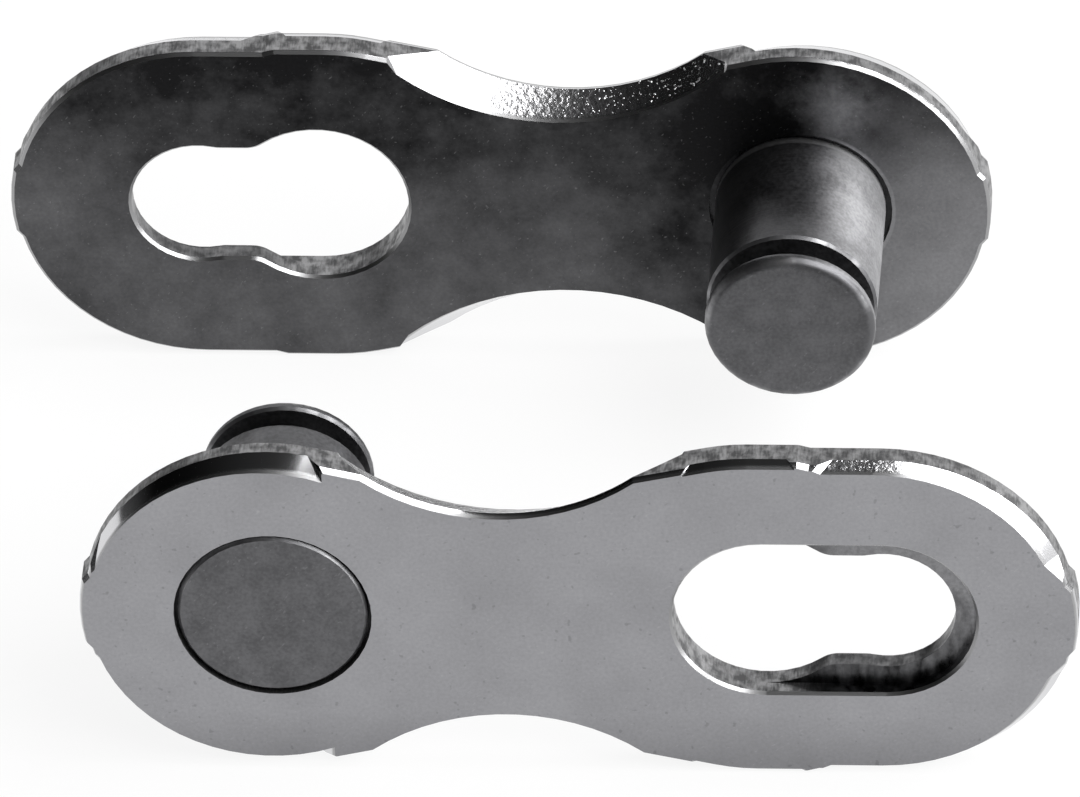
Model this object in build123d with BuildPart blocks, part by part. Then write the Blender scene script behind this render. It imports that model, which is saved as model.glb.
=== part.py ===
"""Quick connecting link for a narrow bicycle chain: two like halves, each an outer plate with a keyhole
and a grooved pin riveted into it. The halves face each other, drawn apart along their pins.

Frame: X runs along the chain, Y along the pins and Z up the height of the plates. The origin lies on the
ground, midway between the two pins and midway between the two plates.
Each half is drawn in a frame of its own: its origin on the pin's axis at the plate's inner face, its x
towards the keyhole and its z out along the pin."""

import os
from math import acos, copysign, degrees, radians, sqrt, tan

from build123d import *

# Chain
pitch = 12.70  # from the pin to the keyhole's locking end
closed_gap = 3.45  # between the inner faces of the closed link
closing_travel = 10.00  # how far the halves are drawn apart, along their pins
lock_slide = 2.50  # from the keyhole's wide end to its locking end

# Plate
plate_thickness = 0.80
end_radius = 3.93
shoulder_radius = 4.00  # beside the keyhole's wide end
shoulder_to_lock = 2.75  # the shoulder's centre, from the locking end
step_to_lock = 1.70  # where the shoulder steps down to the rounded end, from the locking end
step_ramp = 0.25
pin_to_waist = 4.78  # the waist's middle
waist_half_height = 2.60
waist_radius = 4.55
waist_half_angle = 38  # of its arc, which ends in corners
stub_half_height = 0.95  # the stub at each tip, where the plate was cut from its strip
stub_length = 0.09
stub_ramp = 0.25  # how much narrower the stub is at its tip, on each side

# Edges of the plate: width across the face, depth into the plate
inner_edge_break = 0.07
outer_edge_width, outer_edge_depth = 0.06, 0.14

# Bevels pressed into those edges, each with its start and end along the plate, from the pin
waist_bevel_width, waist_bevel_depth = 0.40, 0.65
waist_bevel_start, waist_bevel_end = 1.22, 8.78
waist_bevel_lean = 32  # its ends part towards the rim, each from square across the plate
punch_spread = 0.75  # how much larger the punch for it is than the waist, so that it widens towards its ends
punch_shift = 0.25  # how much nearer the keyhole that punch lies
shoulder_bevel_width, shoulder_bevel_depth = 0.10, 0.24
shoulder_bevel_start, shoulder_bevel_end = 8.60, 10.95
pin_bevel_width, pin_bevel_depth = 0.24, 0.42
pin_bevel_end = 1.66
lock_bevel_width, lock_bevel_depth = 0.14, 0.32
lock_bevel_start = 11.20
die_shift = 0.14  # how much nearer the pin the die for both rounded ends lies
narrowing_length, narrowing_width = 0.50, 0.25  # of those two bevels, to a point beside flank or step
narrowing_x, narrowing_height = 2.85, 2.05  # from the end's centre, where they begin to narrow to the stub
waist_facet, facet = 18, 36  # the slopes in which bevels end, from the way they're pressed

# Pin
pin_diameter = 3.60  # its shank, which the next link's bush turns on
tenon_step = 0.20  # the tenon in the plate is that much smaller, all round
rivet_spread = 0.18  # the riveted end is that much larger than the shank, all round
rivet_height = 0.30
rivet_sink = 0.02  # below the plate's outer face
groove_depth = 0.40
groove_play = 0.05  # each side of the ledge
rim_break = 0.06  # the rims of the groove and of the riveted end
tip_round = 0.20

# Keyhole
keyhole_clearance = 0.11  # round the pin
lock_clearance = 0.07  # round the pin's groove
neck_clearance = 0.02  # each side of the pin's groove
neck_fillet = 0.60
ledge_thickness = 0.44  # what the pin's groove takes
keyhole_edge_break = 0.06

# Pin's seats in the plate
shank_seat_depth = 0.12
shank_seat_gap = 0.14  # round the shank
rivet_seat_gap = 0.08  # round the riveted end

# What follows from them
pin_radius = pin_diameter / 2
tenon_radius = pin_radius - tenon_step
rivet_radius = pin_radius + rivet_spread
groove_radius = pin_radius - groove_depth
keyhole_radius = pin_radius + keyhole_clearance
lock_radius = groove_radius + lock_clearance
neck_half_height = groove_radius + neck_clearance
pin_to_shoulder = pitch - shoulder_to_lock
pin_to_step = pitch - step_to_lock
pin_to_wide_end = pitch - lock_slide
open_gap = closed_gap + closing_travel
past = 1.0  # how far a cutting shape runs past what it cuts


def touch(centre_x, radius, corner):
    """Where a straight flank from a corner touches a rounding whose centre is on the plate's middle line."""
    centre = Vector(centre_x, 0)
    away = corner - centre
    turn = copysign(degrees(acos(radius / away.length)), away.X)
    return centre + away.normalized().rotate(Axis.Z, turn) * radius


waist_centre = Vector(pin_to_waist, waist_half_height + waist_radius)
end_corner = waist_centre - Vector(0, waist_radius).rotate(Axis.Z, -waist_half_angle)
shoulder_corner = waist_centre - Vector(0, waist_radius).rotate(Axis.Z, waist_half_angle)

# Outlines, drawn flat in the x and y of a half

# The pin's rounded end, the hollow waist and the shoulder, which here runs on past its step
with BuildSketch() as waist_rim:
    with BuildLine():
        Polyline(
            (0, 0),
            touch(0, end_radius, end_corner),
            end_corner,
            shoulder_corner,
            touch(pin_to_shoulder, shoulder_radius, shoulder_corner),
            (pin_to_shoulder, 0),
            close=True,
        )
    make_face()
    with Locations(waist_centre):
        Circle(waist_radius, mode=Mode.SUBTRACT)
    mirror(about=Plane.XZ)
    Circle(end_radius)
    with Locations(((pin_to_shoulder + pitch) / 2, 0)):
        SlotCenterToCenter(shoulder_to_lock, 2 * shoulder_radius)

# A band across both ends, as high as the stubs, narrower at its tips
stub_foot = sqrt(end_radius**2 - stub_half_height**2)
stub_tip = end_radius + stub_length
with BuildSketch() as band:
    with BuildLine():
        Polyline(
            (pitch / 2, stub_half_height),
            (pitch + stub_foot, stub_half_height),
            (pitch + stub_tip, stub_half_height - stub_ramp),
            (pitch + stub_tip, 0),
            (pitch / 2, 0),
            close=True,
        )
    make_face()
    mirror(about=Plane.XZ)
    mirror(about=Plane.YZ.offset(pitch / 2))

with BuildSketch() as stubs:
    with Locations((0, 0), (pitch, 0)):
        Circle(stub_tip)
    add(band.sketch, mode=Mode.INTERSECT)

with BuildSketch() as outline:
    add(waist_rim.sketch)
    with Locations((pin_to_step, 0)):
        Rectangle(pitch, 2 * (shoulder_radius + past), align=(Align.MIN, Align.CENTER), mode=Mode.SUBTRACT)
    with BuildLine():
        Polyline(
            (pin_to_step, shoulder_radius),
            (pin_to_step + step_ramp, end_radius),
            (pitch, end_radius),
            (pitch, 0),
            (pin_to_step, 0),
            close=True,
        )
    make_face()
    mirror(about=Plane.XZ)
    with Locations((pitch, 0)):
        Circle(end_radius)
    add(stubs.sketch)

# A wide end that the pin's tip passes, then a neck and a locking end for its groove
with BuildSketch() as keyhole:
    with Locations((pin_to_wide_end, 0)):
        Circle(keyhole_radius)
        Rectangle(lock_slide, 2 * neck_half_height, align=(Align.MIN, Align.CENTER))
    with Locations((pitch, 0)):
        Circle(lock_radius)
    corners = keyhole.vertices().filter_by(lambda corner: abs(corner.Y) > neck_half_height / 2)
    fillet(corners, neck_fillet)

# Room for the pin's tip outside the ledge, all along its way
with BuildSketch() as recess:
    with Locations((pin_to_wide_end + lock_slide / 2, 0)):
        SlotCenterToCenter(lock_slide, 2 * keyhole_radius)


def along(start, end, lean=0):
    """The plate's edges between two places along it, level with the tops of its shoulders. The middle is
    left out, as high as the stubs, and the lean is how far the zone's ends part towards the rim."""
    slope = tan(radians(lean))
    run = (shoulder_radius - stub_half_height) * slope
    with BuildSketch() as zone:
        with BuildLine():
            Polyline(
                (start + run, stub_half_height),
                (end - run, stub_half_height),
                (end + past * slope, shoulder_radius + past),
                (start - past * slope, shoulder_radius + past),
                close=True,
            )
        make_face()
        mirror(about=Plane.XZ)
    return zone.sketch


def pressed(face, zone, depth, slope, tool, mode):
    """What is pressed away in a zone of the face, within a punch or outside the part that a die keeps."""
    with BuildPart() as away:
        with BuildSketch(face):
            add(zone)
        extrude(amount=-depth, taper=slope)
        add(tool, mode=mode)
    return away.part


def waist_bevel(face, side):
    """What a round punch presses away above or below the waist. It tapers to the waist's own arc."""
    rise = punch_spread - waist_bevel_width
    with BuildPart() as punch:
        with BuildSketch(face):
            with Locations((waist_centre.X + punch_shift, side * (waist_centre.Y + rise))):
                Circle(waist_radius + punch_spread)
        with BuildSketch(face.offset(-2 * waist_bevel_depth)):
            with Locations((waist_centre.X - punch_shift, side * (waist_centre.Y - rise))):
                Circle(waist_radius - punch_spread)
        loft(ruled=True)
    zone = along(waist_bevel_start, waist_bevel_end, waist_bevel_lean)
    return pressed(face, zone, plate_thickness, waist_facet, punch.part, Mode.INTERSECT)


def shoulder_bevel(face):
    """What a die presses away along both shoulders."""
    with BuildPart() as kept:
        with BuildSketch(face):
            add(waist_rim.sketch)
        extrude(amount=-plate_thickness)
        top = kept.faces().sort_by(Axis(face.origin, face.z_dir))[-1]
        chamfer(top.edges(), shoulder_bevel_width, shoulder_bevel_depth, reference=top)
    zone = along(shoulder_bevel_start, shoulder_bevel_end)
    return pressed(face, zone, shoulder_bevel_depth, facet, kept.part, Mode.SUBTRACT)


def pin_end(growth):
    """The pin's rounded end, grown all round."""
    with BuildSketch() as end:
        Circle(end_radius + growth)
    return end.sketch


def lock_end(growth):
    """The keyhole's rounded end and the straight edges beside it, grown all round."""
    with BuildSketch() as end:
        with Locations((pitch / 2, 0)):
            SlotCenterToCenter(pitch, 2 * (end_radius + growth))
    return end.sketch


def round_end(centre_x, side, start):
    """The edges round an end, from a start along the plate to the stub, to a point at both."""
    with BuildSketch() as zone:
        with BuildLine():
            Polyline(
                (start, end_radius + past),
                (start, end_radius),
                (start + side * narrowing_length, end_radius - narrowing_width),
                (start + side * narrowing_length, narrowing_height),
                (centre_x + side * narrowing_x, narrowing_height),
                (centre_x + side * stub_foot, stub_half_height),
                (centre_x + side * (stub_foot + past), stub_half_height),
                (centre_x + side * (stub_foot + past), end_radius + past),
                close=True,
            )
        make_face()
        mirror(about=Plane.XZ)
    return zone.sketch


def end_bevel(face, zone, rim, width, depth):
    """What a die presses away round one end. The die tapers out to the end's own rim."""
    with BuildPart() as kept:
        with BuildSketch(face):
            with Locations((-die_shift, 0)):
                add(rim(-width))
        with BuildSketch(face.offset(-2 * depth)):
            with Locations((die_shift, 0)):
                add(rim(width))
        loft(ruled=True)
    return pressed(face, zone, depth, facet, kept.part, Mode.SUBTRACT)


def outer_plate(frame):
    """A plate, stamped out, bevelled and pierced for its own pin and for the other half's."""
    outwards = -frame.z_dir
    inner_face = frame
    outer_face = Plane(frame.origin + outwards * plate_thickness, x_dir=frame.x_dir, z_dir=outwards)
    across = Axis(frame.origin, frame.z_dir)
    pin_zone = round_end(0, -1, pin_bevel_end)
    lock_zone = round_end(pitch, 1, lock_bevel_start)
    with BuildPart() as plate:
        with BuildSketch(inner_face):
            add(outline.sketch)
        extrude(amount=-plate_thickness)
        inner_rim = plate.faces().sort_by(across)[-1]
        chamfer(inner_rim.edges(), inner_edge_break)
        outer_rim = plate.faces().sort_by(across)[0]
        chamfer(outer_rim.edges(), outer_edge_width, outer_edge_depth, reference=outer_rim)
        add(
            [
                waist_bevel(inner_face, 1),
                waist_bevel(inner_face, -1),
                shoulder_bevel(outer_face),
                end_bevel(outer_face, pin_zone, pin_end, pin_bevel_width, pin_bevel_depth),
                end_bevel(outer_face, lock_zone, lock_end, lock_bevel_width, lock_bevel_depth),
            ],
            mode=Mode.SUBTRACT,
        )
        with BuildSketch(inner_face):
            add(keyhole.sketch)
        extrude(amount=-plate_thickness, mode=Mode.SUBTRACT)
        with BuildSketch(outer_face):
            add(recess.sketch)
        extrude(amount=ledge_thickness - plate_thickness, mode=Mode.SUBTRACT)
        faces = plate.faces().sort_by(across)
        mouths = faces[0].inner_wires() + faces[-1].inner_wires()
        chamfer(mouths.edges(), keyhole_edge_break)
        with BuildSketch(inner_face):
            Circle(tenon_radius)
        extrude(amount=-plate_thickness, mode=Mode.SUBTRACT)
        with BuildSketch(inner_face):
            Circle(pin_radius + shank_seat_gap)
        extrude(amount=-shank_seat_depth, mode=Mode.SUBTRACT)
        with BuildSketch(outer_face):
            Circle(rivet_radius + rivet_seat_gap)
        extrude(amount=-rivet_height - rivet_sink, mode=Mode.SUBTRACT)
    return plate


def grooved_pin(frame):
    """A pin, turned about its axis: riveted end, tenon, shank, locking groove and rounded tip."""
    pin_axis = Axis(frame.origin, frame.z_dir)
    through_axis = Plane(frame.origin, x_dir=frame.x_dir, z_dir=-frame.y_dir)
    rivet_end = rivet_sink - plate_thickness
    rivet_seat = rivet_end + rivet_height
    groove_start = closed_gap - groove_play
    groove_end = closed_gap + ledge_thickness + groove_play
    tip = closed_gap + plate_thickness  # flush with the far plate
    tip_room = 0.9 * (tip - groove_end - rim_break)  # what its collar leaves for the rounding
    with BuildPart() as pin:
        with BuildSketch(through_axis):
            with BuildLine():
                Polyline(
                    (0, rivet_end),
                    (rivet_radius, rivet_end),
                    (rivet_radius, rivet_seat),
                    (tenon_radius, rivet_seat),
                    (tenon_radius, -shank_seat_depth),
                    (pin_radius, -shank_seat_depth),
                    (pin_radius, groove_start),
                    (groove_radius, groove_start),
                    (groove_radius, groove_end),
                    (pin_radius, groove_end),
                    (pin_radius, tip),
                    (0, tip),
                    close=True,
                )
            make_face()
        revolve(axis=pin_axis)
        rims = pin.edges().filter_by(GeomType.CIRCLE).group_by(pin_axis)
        groove_start_rim, groove_end_rim, tip_rim = [rim.sort_by(SortBy.RADIUS)[-1] for rim in rims[-3:]]
        chamfer([*rims[0], groove_start_rim, groove_end_rim], rim_break)
        fillet(pin.edges().filter_by(GeomType.CIRCLE).group_by(pin_axis)[-1], min(tip_round, tip_room))
    return pin


# The halves stand on their long edges, each with its pin's tip facing the other's keyhole
pin_x = pin_to_wide_end / 2
pin_z = max(shoulder_radius, end_radius)
rear = Plane(origin=(pin_x, open_gap / 2, pin_z), x_dir=(-1, 0, 0), z_dir=(0, -1, 0))
front = Plane(origin=(-pin_x, -open_gap / 2, pin_z), x_dir=(1, 0, 0), z_dir=(0, 1, 0))

rear_plate = outer_plate(rear)
rear_plate.part.label = "rear_plate"

rear_pin = grooved_pin(rear)
rear_pin.part.label = "rear_pin"

front_plate = outer_plate(front)
front_plate.part.label = "front_plate"

front_pin = grooved_pin(front)
front_pin.part.label = "front_pin"

os.makedirs("parts", exist_ok=True)
export_step(rear_plate.part, "parts/rear_plate.step")
export_step(rear_pin.part, "parts/rear_pin.step")
export_step(front_plate.part, "parts/front_plate.step")
export_step(front_pin.part, "parts/front_pin.step")
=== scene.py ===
"""Finishes for the two halves of a bicycle chain's connecting link, and the stage they stand on.

The halves come with the frame as four pieces: two stamped plates and two turned pins. X runs along the
chain, Y along the pins and Z up. Each half has its own way out, +Y for the rear one and -Y for the front
one. Sizes are in metres, and depths of relief in millimetres."""

from functools import partial
from math import cos, pi, radians, sin

import bpy
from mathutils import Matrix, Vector


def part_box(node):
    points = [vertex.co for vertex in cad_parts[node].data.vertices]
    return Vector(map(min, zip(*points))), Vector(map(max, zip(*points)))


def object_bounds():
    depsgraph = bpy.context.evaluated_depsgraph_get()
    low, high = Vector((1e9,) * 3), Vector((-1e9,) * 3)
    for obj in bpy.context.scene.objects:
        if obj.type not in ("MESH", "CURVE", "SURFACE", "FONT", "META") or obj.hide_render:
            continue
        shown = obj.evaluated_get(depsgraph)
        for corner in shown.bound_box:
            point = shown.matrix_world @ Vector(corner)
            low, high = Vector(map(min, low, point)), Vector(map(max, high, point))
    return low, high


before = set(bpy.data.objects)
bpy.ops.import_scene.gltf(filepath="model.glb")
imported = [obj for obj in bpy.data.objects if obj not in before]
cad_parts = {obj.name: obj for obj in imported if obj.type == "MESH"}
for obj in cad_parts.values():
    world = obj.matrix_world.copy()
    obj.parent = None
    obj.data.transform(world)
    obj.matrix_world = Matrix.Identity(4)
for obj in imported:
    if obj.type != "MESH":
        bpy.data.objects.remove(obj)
packed_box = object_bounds()

bl_info = {
    "name": "Chain Connecting Link",
    "version": (1, 0, 0),
    "blender": (4, 5, 0),
    "location": "3D View > Sidebar > Chain Link",
    "description": "Finishes the two halves of a chain's connecting link and stages them",
    "category": "Material",
}

MM = 0.001

# The halves, and each one's way out along Y
HALVES = (("rear", 1), ("front", -1))

# The pieces' own sizes that their finishes follow
PITCH = 12.70 * MM
PIN_RADIUS = 1.80 * MM
GROOVE_RADIUS = 1.40 * MM
SEAT_RADIUS = PIN_RADIUS + 0.14 * MM  # the round seat that the pin's shank stands in
RECESS_DEPTH = 0.36 * MM
RECESS_START = 10.8 * MM  # from the pin, along the plate
RECESS_REACH = 3.2 * MM  # from the locking end's middle: past the recess's wall, short of the plate's edge
SUNK = 0.03 * MM  # a flat face that lies this much deeper than the plate's own is a floor

# How squarely a surface looks along Y, from 0 to 1: where each kind begins and where it is all of that kind
WALL_SLANT = (0.22, 0.14)
FACE_SLANT = (0.88, 0.96)
PIN_RIM_SLANT = (0.15, 0.45)
PIN_END_SLANT = (0.85, 0.97)

SMOOTH = {"interpolation_type": "SMOOTHSTEP"}

# Softboxes: the way to each from the link's middle, how far, how wide and high, and how bright it looks
SOFTBOXES = [
    ("Key softbox", (0.66, 0.04, 0.75), 0.40, 0.22, 0.44, 6.0),
    ("Front softbox", (0.52, -0.50, 0.69), 0.40, 0.23, 0.20, 7.0),
    ("Side strip", (0.90, -0.33, 0.28), 0.40, 0.16, 0.24, 6.0),
    ("Rear side light", (0.80, 0.48, 0.34), 0.40, 0.16, 0.12, 7.0),
    ("Backdrop light", (-0.05, 0.85, 0.50), 0.45, 0.50, 0.20, 1.4),
]

# How bright the studio looks round the softboxes, where 1 is white
HORIZON = 0.72
CEILING = 0.024
CEILING_STARTS = 0.45  # the sine of its angle above the horizon
LEFT_SIDE = 0.1  # how much of that is left behind a dark flag on the left

# How much of the paper's look is plain white: the rest is paper that takes light and shadow
WHITE_TO_CAMERA = 0.88
WHITE_IN_METAL = 0.92


def linear(hex_colour):
    """An sRGB colour such as "8c8d8f" as linear red, green, blue and a full alpha."""
    channels = [int(hex_colour[i : i + 2], 16) / 255 for i in (0, 2, 4)]
    return [c / 12.92 if c <= 0.04045 else ((c + 0.055) / 1.055) ** 2.4 for c in channels] + [1.0]


def colour(name, description, hex_colour):
    """A colour that the user may change."""
    return bpy.props.FloatVectorProperty(
        name=name, description=description, subtype="COLOR", size=4, default=linear(hex_colour), min=0, max=1
    )


def length(name, description, millimetres):
    """A size that the user may change."""
    return bpy.props.FloatProperty(
        name=name, description=description, unit="LENGTH", default=millimetres * MM, min=0, precision=5
    )


def angle(name, description, degrees):
    """An angle that the user may change."""
    return bpy.props.FloatProperty(
        name=name, description=description, subtype="ANGLE", default=radians(degrees)
    )


class ChainLinkFinishes(bpy.types.PropertyGroup):
    """Colours and grain of the plates and pins."""

    # Both inner-face colours also carry painted shade and painted light: the darker where painted shade
    # falls, the lighter where painted light falls
    thick_oil_and_shade: colour("Thick oil", "Inner face where its oil lies thickest", "1e1e1f")
    thin_oil_and_light: colour("Thin oil", "Inner face where its oil is wiped thin", "808082")
    nickel: colour("Nickel", "Tumbled outer face", "97979a")
    pressed: colour("Pressed bevels", "Bare steel that a die pressed smooth", "d2d2d4")
    sheared: colour("Sheared wall", "Steel where the plate was cut from its strip", "9a9a9b")
    torn: colour("Torn wall", "Patches of the cut where the steel tore", "5c5c5d")
    # A darker steel in the seats, the recess and the groove
    crevice: colour("Crevices", "Old oil in seats, recess and groove", "2c2c2d")
    # The lighter grey of the recess's streaks, higher up
    top_shade_and_recess_grey: colour("Drained steel", "Recess where its oil has run down", "7c7c7e")
    turned: colour("Turned pin", "Hardened and blackened round the pin", "646466")
    # Painted light: the lighter colour of the pin's lit side
    painted_lit_side: colour("Rubbed pin", "Side of the pin where its black is rubbed thin", "b4b4b6")
    pin_end: colour("Pin ends", "Ground ends of the pin", "606062")
    cloud: length("Clouds", "Patches of thick and thin oil", 1.6)
    fleck: length("Flecks", "Size of the flecks and scuffs", 0.14)
    # These are finer on a real link, and are drawn as coarse as they need to be to show
    grain: length("Grain", "Orange peel that tumbling leaves on a face", 0.08)
    crystal: length("Crystals", "Facets of the pressed bevels", 0.11)
    score: length("Scores", "Width of the scores that the shear leaves", 0.05)
    ring: length("Rings", "Pitch of the turning rings", 0.05)


class ChainLinkStage(bpy.types.PropertyGroup):
    """Camera and its place."""

    azimuth: angle("Azimuth", "Camera's turn round the link, from the front to the right", 5)
    elevation: angle("Elevation", "Camera's angle above the floor", 37)
    roll: angle("Roll", "Camera's turn about its line of sight", -2.5)
    distance: length("Distance", "Camera's distance from the link's middle", 600)
    shown_width: length("Shown width", "Width that the camera shows at the link's middle", 22.6)


def add_node(tree, kind, inputs, **settings):
    """Adds a node and gives its first output. Its inputs are a list in order or a dictionary by name, and
    each is another node's output, which is linked, or a value. A Map Range's list is what it reads, where
    it starts and ends, and what it gives there if that isn't 0 and 1."""
    node = tree.nodes.new(kind)
    for name, value in settings.items():
        setattr(node, name, value)
    sockets = [socket for socket in node.inputs if socket.enabled]
    named = {socket.name: socket for socket in sockets}
    pairs = zip(sockets, inputs) if isinstance(inputs, list) else [(named[k], v) for k, v in inputs.items()]
    for socket, value in pairs:
        if isinstance(value, bpy.types.NodeSocket):
            tree.links.new(value, socket)
        else:
            socket.default_value = value
    return next((socket for socket in node.outputs if socket.enabled), None)


def start_material(name, finishes):
    """A new metal, with a way to add nodes to it, its piece's own position and normal, and its grain."""
    material = bpy.data.materials.new(name)
    material.use_nodes = True
    add = partial(add_node, material.node_tree)
    outputs = add("ShaderNodeTexCoord", []).node.outputs
    position = outputs["Object"]
    grain = add("ShaderNodeTexNoise", {"Vector": position, "Scale": 1 / finishes.grain, "Detail": 3.0})
    return material, add, position, outputs["Normal"], grain


def finish_material(material, add, finish):
    """Puts a finish, its colour, roughness and relief, on the material's shader."""
    base, rough, height = finish
    bump = add("ShaderNodeBump", {"Strength": 1.0, "Distance": MM, "Height": height})
    shader = material.node_tree.nodes["Principled BSDF"]
    shader.inputs["Metallic"].default_value = 1.0
    material.node_tree.links.new(base, shader.inputs["Base Color"])
    material.node_tree.links.new(rough, shader.inputs["Roughness"])
    material.node_tree.links.new(bump, shader.inputs["Normal"])


def cover(add, under, over, mask):
    """One finish over another where the mask says so."""
    kinds = ("RGBA", "FLOAT", "FLOAT")
    return [add("ShaderNodeMix", [mask, a, b], data_type=kind) for a, b, kind in zip(under, over, kinds)]


def flecks(add, position, size, degrees, stretch):
    """Scattered flecks of no one shape, drawn out at an angle across the face: 1 inside them."""
    turned = add("ShaderNodeMapping", {"Vector": position, "Rotation": (0, radians(degrees), 0)})
    drawn_out = add("ShaderNodeVectorMath", [turned, (1, 1, stretch)], operation="MULTIPLY")
    patches = add("ShaderNodeTexNoise", {"Vector": drawn_out, "Scale": 1 / size, "Detail": 1.0})
    return add("ShaderNodeMapRange", [patches, 0.70, 0.76])


def nickel(add, position, grain, finishes):
    """Nickel plate over tumbled steel: an even satin grey with fine orange peel, a few dark pits and light
    scuffs, and painted shade that darkens it towards the plate's foot."""
    cloud = add("ShaderNodeTexNoise", {"Vector": position, "Scale": 1 / finishes.cloud, "Detail": 4.0})
    height = add("ShaderNodeSeparateXYZ", [position]).node.outputs["Z"]
    pits = flecks(add, position, finishes.fleck, 0, 1.0)
    tone = add("ShaderNodeMapRange", [grain, 0.25, 0.75, 0.9, 1.07])
    for part in (
        add("ShaderNodeMapRange", [cloud, 0.3, 0.7, 0.92, 1.05]),
        # Painted shade: darker towards the plate's foot
        add("ShaderNodeMapRange", [height, 0.3 * MM, 1.5 * MM, 0.76, 1.0]),
        add("ShaderNodeMapRange", [pits, 0.0, 1.0, 1.0, 0.8]),
    ):
        tone = add("ShaderNodeMath", [tone, part], operation="MULTIPLY")
    base = add("ShaderNodeMix", [1.0, tuple(finishes.nickel), tone], data_type="RGBA", blend_type="MULTIPLY")
    scuffs = flecks(add, position, finishes.fleck, 35, 4.0)
    scuffs = add("ShaderNodeMath", [scuffs, 0.10], operation="MULTIPLY")
    base = add("ShaderNodeMix", [scuffs, base, tuple(finishes.pressed)], data_type="RGBA")
    rough = add("ShaderNodeMapRange", [grain, 0.3, 0.7, 0.30, 0.40])
    relief = add("ShaderNodeMath", [grain, 0.0035], operation="MULTIPLY")
    return [base, rough, relief]


def oiled_steel(add, position, grain, finishes, pin_x, towards, along):
    """Tumbled carbon steel under oil, in patches from nearly black to grey, with bright specks and short
    scratches. Painted shade darkens it towards the top and round the pin's root, painted light brightens the
    pin's end, and a painted reflection lies above the pin."""
    middle_z = (packed_box[0].z + packed_box[1].z) / 2
    height = add("ShaderNodeSeparateXYZ", [position]).node.outputs["Z"]
    flat = add("ShaderNodeVectorMath", [position, (1, 0, 1)], operation="MULTIPLY")
    cloud = {"Vector": position, "Scale": 1 / finishes.cloud, "Detail": 6.0, "Roughness": 0.68}
    cloud = add("ShaderNodeTexNoise", cloud)

    # Painted shade: darker along the upper side, and round the pin's root, centred a little below it
    top_shade_and_recess_grey = add("ShaderNodeMapRange", [height, 7.6 * MM, 2.2 * MM, -0.36, 0.15])
    below_pin = (pin_x + towards * 0.6 * MM, 0, middle_z - 1.0 * MM)
    painted_pin_shade = add("ShaderNodeVectorMath", [flat, below_pin], operation="DISTANCE")
    painted_pin_shade = add("ShaderNodeMapRange", [painted_pin_shade, 4.8 * MM, 2.2 * MM, 0.0, -0.30], **SMOOTH)

    # Painted light brightens the pin's end, and the keyhole's end is lighter, but not on their upper sides,
    # and the foot at the keyhole is darker
    lower = add("ShaderNodeMapRange", [height, 6.6 * MM, 4.4 * MM, 0.2, 1.0], **SMOOTH)
    painted_end_light = add("ShaderNodeMapRange", [along, 0.4 * MM, -2.0 * MM, 0.0, 0.85], **SMOOTH)
    painted_end_light = add("ShaderNodeMath", [painted_end_light, lower], operation="MULTIPLY")
    keyhole_end_tone = add("ShaderNodeMapRange", [along, 13.6 * MM, 16.2 * MM, 0.0, 0.26], **SMOOTH)
    keyhole_end_tone = add("ShaderNodeMath", [keyhole_end_tone, lower], operation="MULTIPLY")
    above_foot = add("ShaderNodeMapRange", [height, 2.0 * MM, 4.0 * MM, -0.7, 1.0], **SMOOTH)
    keyhole_end_tone = add("ShaderNodeMath", [keyhole_end_tone, above_foot], operation="MULTIPLY")

    # A painted reflection above the pin, and a lighter ring round the seat's rim on the side away from the
    # keyhole
    painted_reflection_at = (pin_x - towards * 0.7 * MM, 0, middle_z + 2.75 * MM)
    painted_reflection_above_pin = add("ShaderNodeVectorMath", [flat, painted_reflection_at], operation="DISTANCE")
    painted_reflection_above_pin = add("ShaderNodeMapRange", [painted_reflection_above_pin, 1.4 * MM, 0.1 * MM, 0.0, 1.0], **SMOOTH)
    blotch = add("ShaderNodeMapRange", [cloud, 0.35, 0.60, 0.35, 1.1])
    painted_reflection_above_pin = add("ShaderNodeMath", [painted_reflection_above_pin, blotch], operation="MULTIPLY")
    seat_rim = add("ShaderNodeVectorMath", [flat, (pin_x, 0, middle_z)], operation="DISTANCE")
    seat_rim = add("ShaderNodeMapRange", [seat_rim, SEAT_RADIUS + 0.09 * MM, SEAT_RADIUS + 0.03 * MM])
    rim_side = add("ShaderNodeMapRange", [along, -0.2 * MM, -1.4 * MM, 0.0, 0.8], **SMOOTH)
    seat_rim = add("ShaderNodeMath", [seat_rim, rim_side], operation="MULTIPLY")

    # Oil patches, with the painted shade, painted light and painted reflection added in
    thin = add("ShaderNodeMath", [cloud, top_shade_and_recess_grey], operation="ADD")
    for film in (painted_pin_shade, painted_end_light, keyhole_end_tone, painted_reflection_above_pin, seat_rim):
        thin = add("ShaderNodeMath", [thin, film], operation="ADD")
    thin = add("ShaderNodeMapRange", [thin, 0.14, 1.41])
    base = add("ShaderNodeMix", [thin, tuple(finishes.thick_oil_and_shade), tuple(finishes.thin_oil_and_light)], data_type="RGBA")
    tone = add("ShaderNodeMapRange", [grain, 0.25, 0.75, 0.84, 1.14])
    base = add("ShaderNodeMix", [1.0, base, tone], data_type="RGBA", blend_type="MULTIPLY")
    specks = flecks(add, position, 0.6 * finishes.fleck, 0, 1.0)
    scratches = flecks(add, position, finishes.fleck, 50, 3.0)
    bright = add("ShaderNodeMath", [specks, scratches], operation="MAXIMUM")
    bright = add("ShaderNodeMath", [bright, 0.10], operation="MULTIPLY")
    base = add("ShaderNodeMix", [bright, base, tuple(finishes.pressed)], data_type="RGBA")
    rough = add("ShaderNodeMapRange", [grain, 0.3, 0.7, 0.40, 0.50])
    relief = add("ShaderNodeMath", [grain, 0.003], operation="MULTIPLY")
    return [base, rough, relief]


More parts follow.
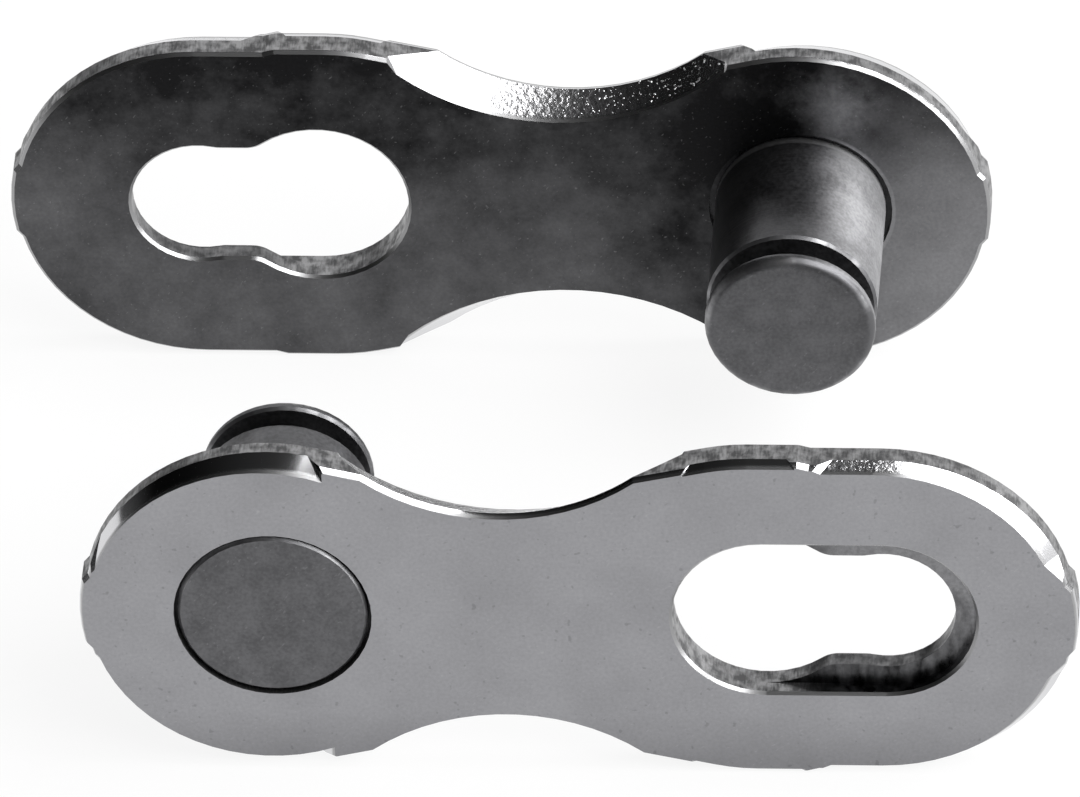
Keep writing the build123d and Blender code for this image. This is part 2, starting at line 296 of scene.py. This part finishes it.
def pressed_steel(add, position, finishes, from_face, along, is_outer):
    """Bare steel pressed by a die: almost a mirror where the die burnished it, and broken by crystal facets
    that sparkle where it slid off. The narrow edge breaks are tumbled dull, and too fine to show any."""
    facets = add("ShaderNodeTexNoise", {"Vector": position, "Scale": 1 / finishes.crystal, "Detail": 2.0})
    peaks = {"Vector": position, "Scale": 1 / (0.6 * finishes.crystal), "Detail": 1.0}
    peaks = add("ShaderNodeTexNoise", peaks)
    peaks = add("ShaderNodeMapRange", [peaks, 0.66, 0.86])
    peaks = add("ShaderNodeMath", [peaks, 0.022], operation="MULTIPLY")
    relief = add("ShaderNodeMath", [facets, 0.016], operation="MULTIPLY")
    relief = add("ShaderNodeMath", [relief, peaks], operation="ADD")

    # On the inner face it is the pin's side of the waist, on the outer face a patch above the keyhole
    inside = add("ShaderNodeMapRange", [along, 7.4 * MM, 5.6 * MM], **SMOOTH)
    outside = add("ShaderNodeMath", [along, 12.2 * MM], operation="SUBTRACT")
    outside = add("ShaderNodeMath", [outside], operation="ABSOLUTE")
    outside = add("ShaderNodeMapRange", [outside, 1.2 * MM, 0.7 * MM], **SMOOTH)
    broken = add("ShaderNodeMix", [is_outer, inside, outside], data_type="FLOAT")
    wide = add("ShaderNodeMapRange", [from_face, 0.05 * MM, 0.12 * MM])
    broken = add("ShaderNodeMath", [broken, wide], operation="MULTIPLY")

    relief = add("ShaderNodeMath", [relief, broken], operation="MULTIPLY")
    base = add("ShaderNodeMix", [wide, tuple(finishes.sheared), tuple(finishes.pressed)], data_type="RGBA")
    rough = add("ShaderNodeMapRange", [broken, 0.0, 1.0, 0.12, 0.24])
    rough = add("ShaderNodeMix", [wide, 0.30, rough], data_type="FLOAT")
    return [base, rough, relief]


def sheared_steel(add, position, finishes):
    """The cut wall: dull grey, scored straight through the thickness, with torn darker patches."""
    through = add("ShaderNodeVectorMath", [position, (1, 0.2, 1)], operation="MULTIPLY")
    scores = add("ShaderNodeTexNoise", {"Vector": through, "Scale": 1 / finishes.score, "Detail": 3.0})
    patches = {"Vector": position, "Scale": 1 / (5 * finishes.score), "Detail": 4.0}
    patches = add("ShaderNodeTexNoise", patches)
    faint = add("ShaderNodeMath", [scores, 0.5], operation="MULTIPLY")
    whole = add("ShaderNodeMath", [faint, patches], operation="ADD")
    whole = add("ShaderNodeMapRange", [whole, 0.60, 0.90])
    base = add("ShaderNodeMix", [whole, tuple(finishes.torn), tuple(finishes.sheared)], data_type="RGBA")
    rough = add("ShaderNodeMapRange", [whole, 0.0, 1.0, 0.50, 0.36])
    relief = add("ShaderNodeMath", [scores, 0.008], operation="MULTIPLY")
    return [base, rough, relief]


def crevice(add, position, grain, finishes, in_recess):
    """Floors of the seats and the recess, and the recess's wall: dark steel, black in the seats, while in the
    recess it has grey streaks and grows darker towards the lower side."""
    hanging = add("ShaderNodeVectorMath", [position, (1, 1, 0.3)], operation="MULTIPLY")
    runs = add("ShaderNodeTexNoise", {"Vector": hanging, "Scale": 1 / (3 * finishes.grain), "Detail": 4.0})
    height = add("ShaderNodeSeparateXYZ", [position]).node.outputs["Z"]
    # Darker towards the bottom, lighter higher up
    darker_below = add("ShaderNodeMapRange", [height, 2.6 * MM, 5.0 * MM, -0.12, 0.42])
    bare = add("ShaderNodeMath", [runs, darker_below], operation="ADD")
    bare = add("ShaderNodeMapRange", [bare, 0.28, 0.78])
    bare = add("ShaderNodeMath", [bare, in_recess], operation="MULTIPLY")
    base = add("ShaderNodeMix", [bare, tuple(finishes.crevice), tuple(finishes.top_shade_and_recess_grey)], data_type="RGBA")
    tone = add("ShaderNodeMapRange", [grain, 0.25, 0.75, 0.8, 1.2])
    base = add("ShaderNodeMix", [1.0, base, tone], data_type="RGBA", blend_type="MULTIPLY")
    rough = add("ShaderNodeMapRange", [runs, 0.3, 0.7, 0.20, 0.40])
    relief = add("ShaderNodeMath", [runs, 0.02], operation="MULTIPLY")
    return [base, rough, relief]


def plate_steel(finishes, half, outwards):
    """Carbon steel, stamped from strip: satin nickel outside, dark oil inside, painted shade on both and
    painted light inside, bright pressed bevels and dull sheared walls."""
    material, add, position, normal, grain = start_material(f"Stamped steel, {half} plate", finishes)
    low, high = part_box(f"{half}_plate")
    pin_x = sum(corner[0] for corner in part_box(f"{half}_pin")) / 2
    towards = -outwards  # along X, from the pin to the keyhole
    outer_y = high[1] if outwards > 0 else low[1]

    way_out = add("ShaderNodeVectorMath", [normal, (0, outwards, 0)], operation="DOT_PRODUCT")
    way_out_y = add("ShaderNodeVectorMath", [position, (0, outwards, 0)], operation="DOT_PRODUCT")
    from_outer = add("ShaderNodeMath", [outwards * outer_y, way_out_y], operation="SUBTRACT")
    from_inner = add("ShaderNodeMath", [high[1] - low[1], from_outer], operation="SUBTRACT")
    from_face = add("ShaderNodeMath", [from_outer, from_inner], operation="MINIMUM")
    along = add("ShaderNodeVectorMath", [position, (towards, 0, 0)], operation="DOT_PRODUCT")
    along = add("ShaderNodeMath", [along, towards * pin_x], operation="SUBTRACT")

    slant = add("ShaderNodeMath", [way_out], operation="ABSOLUTE")
    is_face = add("ShaderNodeMapRange", [slant, *FACE_SLANT])
    is_wall = add("ShaderNodeMapRange", [slant, *WALL_SLANT])
    is_outer = add("ShaderNodeMath", [way_out, 0.0], operation="GREATER_THAN")
    is_sunk = add("ShaderNodeMath", [from_face, SUNK], operation="GREATER_THAN")
    in_recess = add("ShaderNodeMapRange", [along, RECESS_START, RECESS_START + 1.0 * MM])

    # The recess's wall takes the crevices' dark finish too, all but the ledge below it
    flat = add("ShaderNodeVectorMath", [position, (1, 0, 1)], operation="MULTIPLY")
    lock_axis = (pin_x + towards * PITCH, 0, (low[2] + high[2]) / 2)
    dark_recess_wall = add("ShaderNodeVectorMath", [flat, lock_axis], operation="DISTANCE")
    dark_recess_wall = add("ShaderNodeMath", [dark_recess_wall, RECESS_REACH], operation="LESS_THAN")
    dark_recess_wall = add("ShaderNodeMath", [dark_recess_wall, in_recess], operation="MULTIPLY")
    deep = add("ShaderNodeMapRange", [from_outer, RECESS_DEPTH, RECESS_DEPTH + 0.05 * MM, 1.0, 0.55])
    dark_recess_wall = add("ShaderNodeMath", [dark_recess_wall, deep], operation="MULTIPLY")

    inner = oiled_steel(add, position, grain, finishes, pin_x, towards, along)
    faces = cover(add, inner, nickel(add, position, grain, finishes), is_outer)
    hidden = crevice(add, position, grain, finishes, in_recess)
    faces = cover(add, faces, hidden, is_sunk)
    walls = cover(add, sheared_steel(add, position, finishes), hidden, dark_recess_wall)
    pressed = pressed_steel(add, position, finishes, from_face, along, is_outer)
    edges = cover(add, pressed, walls, is_wall)
    finish_material(material, add, cover(add, edges, faces, is_face))
    return material


def pin_steel(finishes, half, outwards):
    """Hardened steel, turned and blackened: a dark satin round with fine rings, lighter on one side by
    painted light, a painted highlight round its root, worn rims, a dark groove and mottled ground ends."""
    material, add, position, normal, grain = start_material(f"Turned steel, {half} pin", finishes)
    low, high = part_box(f"{half}_pin")
    axis = ((low[0] + high[0]) / 2, 0, (low[2] + high[2]) / 2)
    plate_low, plate_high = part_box(f"{half}_plate")
    inner_y = plate_low[1] if outwards > 0 else plate_high[1]

    slant = add("ShaderNodeVectorMath", [normal, (0, 1, 0)], operation="DOT_PRODUCT")
    slant = add("ShaderNodeMath", [slant], operation="ABSOLUTE")
    is_end = add("ShaderNodeMapRange", [slant, *PIN_END_SLANT])
    is_rim = add("ShaderNodeMapRange", [slant, *PIN_RIM_SLANT])
    flat = add("ShaderNodeVectorMath", [position, (1, 0, 1)], operation="MULTIPLY")
    away = add("ShaderNodeVectorMath", [flat, axis], operation="DISTANCE")
    in_groove = add("ShaderNodeMapRange", [away, PIN_RADIUS - 0.12 * MM, GROOVE_RADIUS + 0.05 * MM])
    from_plate = add("ShaderNodeSeparateXYZ", [position]).node.outputs["Y"]
    from_plate = add("ShaderNodeMath", [from_plate, inner_y], operation="SUBTRACT")
    from_plate = add("ShaderNodeMath", [from_plate], operation="ABSOLUTE")

    cloud = {"Vector": position, "Scale": 1 / (0.35 * finishes.cloud), "Detail": 4.0}
    cloud = add("ShaderNodeTexNoise", cloud)
    mottle = add("ShaderNodeMath", [grain, cloud], operation="ADD")
    mottle = add("ShaderNodeMapRange", [mottle, 0.75, 1.25, 0.78, 1.2])

    # The round, lightened on one side by painted light that is strongest near the plate, and a painted
    # highlight line at its root
    painted_lit_side = add("ShaderNodeVectorMath", [normal, (outwards, 0, 0)], operation="DOT_PRODUCT")
    painted_lit_side = add("ShaderNodeMapRange", [painted_lit_side, 0.10, 0.70], **SMOOTH)
    near_root = add("ShaderNodeMapRange", [from_plate, 3.4 * MM, 0.8 * MM, 0.45, 1.0])
    lighter = add("ShaderNodeMath", [painted_lit_side, near_root], operation="MULTIPLY")
    side = add("ShaderNodeMix", [lighter, tuple(finishes.turned), tuple(finishes.painted_lit_side)], data_type="RGBA")
    side = add("ShaderNodeMix", [1.0, side, mottle], data_type="RGBA", blend_type="MULTIPLY")
    # Painted highlight: a light line in the pressed colour round the pin's root
    root = add("ShaderNodeMapRange", [from_plate, 0.11 * MM, 0.06 * MM, 0.0, 0.6])
    side = add("ShaderNodeMix", [root, side, tuple(finishes.pressed)], data_type="RGBA")
    side = add("ShaderNodeMix", [in_groove, side, tuple(finishes.crevice)], data_type="RGBA")
    rough = add("ShaderNodeMapRange", [grain, 0.3, 0.7, 0.36, 0.44])
    rough = add("ShaderNodeMix", [painted_lit_side, rough, 0.60], data_type="FLOAT")
    squeezed = add("ShaderNodeVectorMath", [position, (0.02, 1, 0.02)], operation="MULTIPLY")
    rings = add("ShaderNodeTexNoise", {"Vector": squeezed, "Scale": 1 / finishes.ring, "Detail": 2.0})
    rings = add("ShaderNodeMath", [rings, 0.004], operation="MULTIPLY")

    # Its rims, worn to bare steel in places
    worn = add("ShaderNodeMapRange", [cloud, 0.45, 0.70, 0.0, 0.35])
    rim = add("ShaderNodeMix", [worn, tuple(finishes.turned), tuple(finishes.pressed)], data_type="RGBA")
    rim_rough = add("ShaderNodeMapRange", [worn, 0.0, 0.35, 0.44, 0.34])
    body = cover(add, [side, rough, rings], [rim, rim_rough, rings], is_rim)

    # Its ends, with a few scratches
    ground = tuple(finishes.pin_end)
    end = add("ShaderNodeMix", [1.0, ground, mottle], data_type="RGBA", blend_type="MULTIPLY")
    scratches = flecks(add, position, finishes.fleck, 50, 2.0)
    scratches = add("ShaderNodeMath", [scratches, 0.08], operation="MULTIPLY")
    end = add("ShaderNodeMix", [scratches, end, tuple(finishes.pressed)], data_type="RGBA")
    end_rough = add("ShaderNodeMapRange", [grain, 0.3, 0.7, 0.34, 0.46])
    end_relief = add("ShaderNodeMath", [grain, 0.004], operation="MULTIPLY")
    finish_material(material, add, cover(add, body, [end, end_rough, end_relief], is_end))
    return material


def finish_piece(name, material):
    """Puts a material in all of a piece's slots."""
    for slot in bpy.data.objects[name].material_slots:
        slot.material = material


def build_floor():
    """Pale paper. It shows white to the camera and in the metal, but for part of the link's shadow."""
    bpy.ops.mesh.primitive_plane_add(size=6, location=(0, 0, packed_box[0].z))
    floor = bpy.context.object
    floor.name = "Floor"
    material = bpy.data.materials.new("Floor paper")
    material.use_nodes = True
    material.cycles.emission_sampling = "NONE"  # its white is only seen and mirrored, and isn't a lamp
    tree = material.node_tree
    tree.nodes.clear()
    add = partial(add_node, tree)
    paper = add("ShaderNodeBsdfDiffuse", {"Color": (0.85, 0.85, 0.85, 1)})
    white = add("ShaderNodeEmission", {"Strength": 1.0})
    rays = add("ShaderNodeLightPath", []).node.outputs
    glossy, clear, direct = (rays[f"Is {kind} Ray"] for kind in ("Glossy", "Transmission", "Camera"))
    mirrored = add("ShaderNodeMath", [glossy, clear], operation="MAXIMUM")
    mirrored = add("ShaderNodeMath", [mirrored, WHITE_IN_METAL], operation="MULTIPLY")
    direct = add("ShaderNodeMath", [direct, WHITE_TO_CAMERA], operation="MULTIPLY")
    share = add("ShaderNodeMath", [mirrored, direct], operation="MAXIMUM")
    mix = add("ShaderNodeMixShader", [share, paper, white])
    add("ShaderNodeOutputMaterial", {"Surface": mix})
    floor.data.materials.append(material)


def build_world():
    """A dark ceiling over a pale horizon, darker to the left, and white past the floor's edge."""
    world = bpy.data.worlds.new("Studio")
    bpy.context.scene.world = world
    world.use_nodes = True
    tree = world.node_tree
    tree.nodes.clear()
    add = partial(add_node, tree)
    way = add("ShaderNodeTexCoord", []).node.outputs["Generated"]
    parts = add("ShaderNodeSeparateXYZ", [way]).node.outputs
    ceiling = add("ShaderNodeMapRange", [parts["Z"], 0.0, CEILING_STARTS, HORIZON, CEILING], **SMOOTH)
    flag = add("ShaderNodeMapRange", [parts["X"], -0.8, 0.0, LEFT_SIDE, 1.0], **SMOOTH)
    above = add("ShaderNodeMath", [ceiling, flag], operation="MULTIPLY")
    below = add("ShaderNodeMath", [parts["Z"], 0.0], operation="LESS_THAN")
    strength = add("ShaderNodeMix", [below, above, 1.0], data_type="FLOAT")
    sky = add("ShaderNodeBackground", {"Color": (1, 1, 1, 1), "Strength": strength})
    add("ShaderNodeOutputWorld", {"Surface": sky})


def build_softbox(name, middle, way, reach, width, height, radiance):
    """A softbox turned to the link. Its watts come from how bright its face looks."""
    lamp = bpy.data.lights.new(name, "AREA")
    lamp.shape = "RECTANGLE"
    lamp.size, lamp.size_y = width, height
    lamp.energy = radiance * pi * width * height
    holder = bpy.data.objects.new(name, lamp)
    bpy.context.scene.collection.objects.link(holder)
    away = Vector(way).normalized()
    holder.location = middle + away * reach
    holder.rotation_euler = away.to_track_quat("Z", "Y").to_euler()


def build_camera(stage, middle):
    """A long lens, a little rolled, as the plates lie."""
    camera = bpy.data.cameras.new("Camera")
    camera.lens = camera.sensor_width * stage.distance / stage.shown_width
    camera.clip_start = 0.01
    camera.clip_end = 10
    holder = bpy.data.objects.new("Camera", camera)
    bpy.context.scene.collection.objects.link(holder)
    level = cos(stage.elevation)
    away = Vector((sin(stage.azimuth) * level, -cos(stage.azimuth) * level, sin(stage.elevation)))
    holder.location = middle + away * stage.distance
    holder.rotation_euler = away.to_track_quat("Z", "Y").to_euler()
    holder.rotation_euler.rotate_axis("Z", stage.roll)
    bpy.context.scene.camera = holder
    bpy.context.scene.view_settings.view_transform = "Standard"


class CHAINLINK_OT_finish_plates(bpy.types.Operator):
    """Gives both plates their stamped and plated finish"""

    bl_idname = "chainlink.finish_plates"
    bl_label = "Finish Plates"

    def execute(self, context):
        for half, outwards in HALVES:
            finish_piece(f"{half}_plate", plate_steel(context.scene.chain_link_finishes, half, outwards))
        return {"FINISHED"}


class CHAINLINK_OT_finish_pins(bpy.types.Operator):
    """Gives both pins their turned finish"""

    bl_idname = "chainlink.finish_pins"
    bl_label = "Finish Pins"

    def execute(self, context):
        for half, outwards in HALVES:
            finish_piece(f"{half}_pin", pin_steel(context.scene.chain_link_finishes, half, outwards))
        return {"FINISHED"}


class CHAINLINK_OT_build_stage(bpy.types.Operator):
    """Sets up the floor, the lamps, the world and the camera"""

    bl_idname = "chainlink.build_stage"
    bl_label = "Build Stage"

    def execute(self, context):
        middle = (packed_box[0] + packed_box[1]) / 2
        build_floor()
        build_world()
        for name, *box in SOFTBOXES:
            build_softbox(name, middle, *box)
        build_camera(context.scene.chain_link_stage, middle)
        return {"FINISHED"}


class CHAINLINK_PT_panel(bpy.types.Panel):
    """Buttons that finish the link's pieces and build its stage"""

    bl_idname = "CHAINLINK_PT_panel"
    bl_label = "Chain Link"
    bl_space_type = "VIEW_3D"
    bl_region_type = "UI"
    bl_category = "Chain Link"

    def draw(self, context):
        for operator in OPERATORS:
            self.layout.operator(operator.bl_idname)


OPERATORS = (CHAINLINK_OT_finish_plates, CHAINLINK_OT_finish_pins, CHAINLINK_OT_build_stage)
CLASSES = (ChainLinkFinishes, ChainLinkStage, *OPERATORS, CHAINLINK_PT_panel)


def register():
    for cls in CLASSES:
        bpy.utils.register_class(cls)
    bpy.types.Scene.chain_link_finishes = bpy.props.PointerProperty(type=ChainLinkFinishes)
    bpy.types.Scene.chain_link_stage = bpy.props.PointerProperty(type=ChainLinkStage)


def unregister():
    del bpy.types.Scene.chain_link_stage
    del bpy.types.Scene.chain_link_finishes
    for cls in reversed(CLASSES):
        bpy.utils.unregister_class(cls)


def main():
    register()
    bpy.ops.chainlink.finish_plates()
    bpy.ops.chainlink.finish_pins()
    bpy.ops.chainlink.build_stage()


if __name__ == "__main__":
    main()
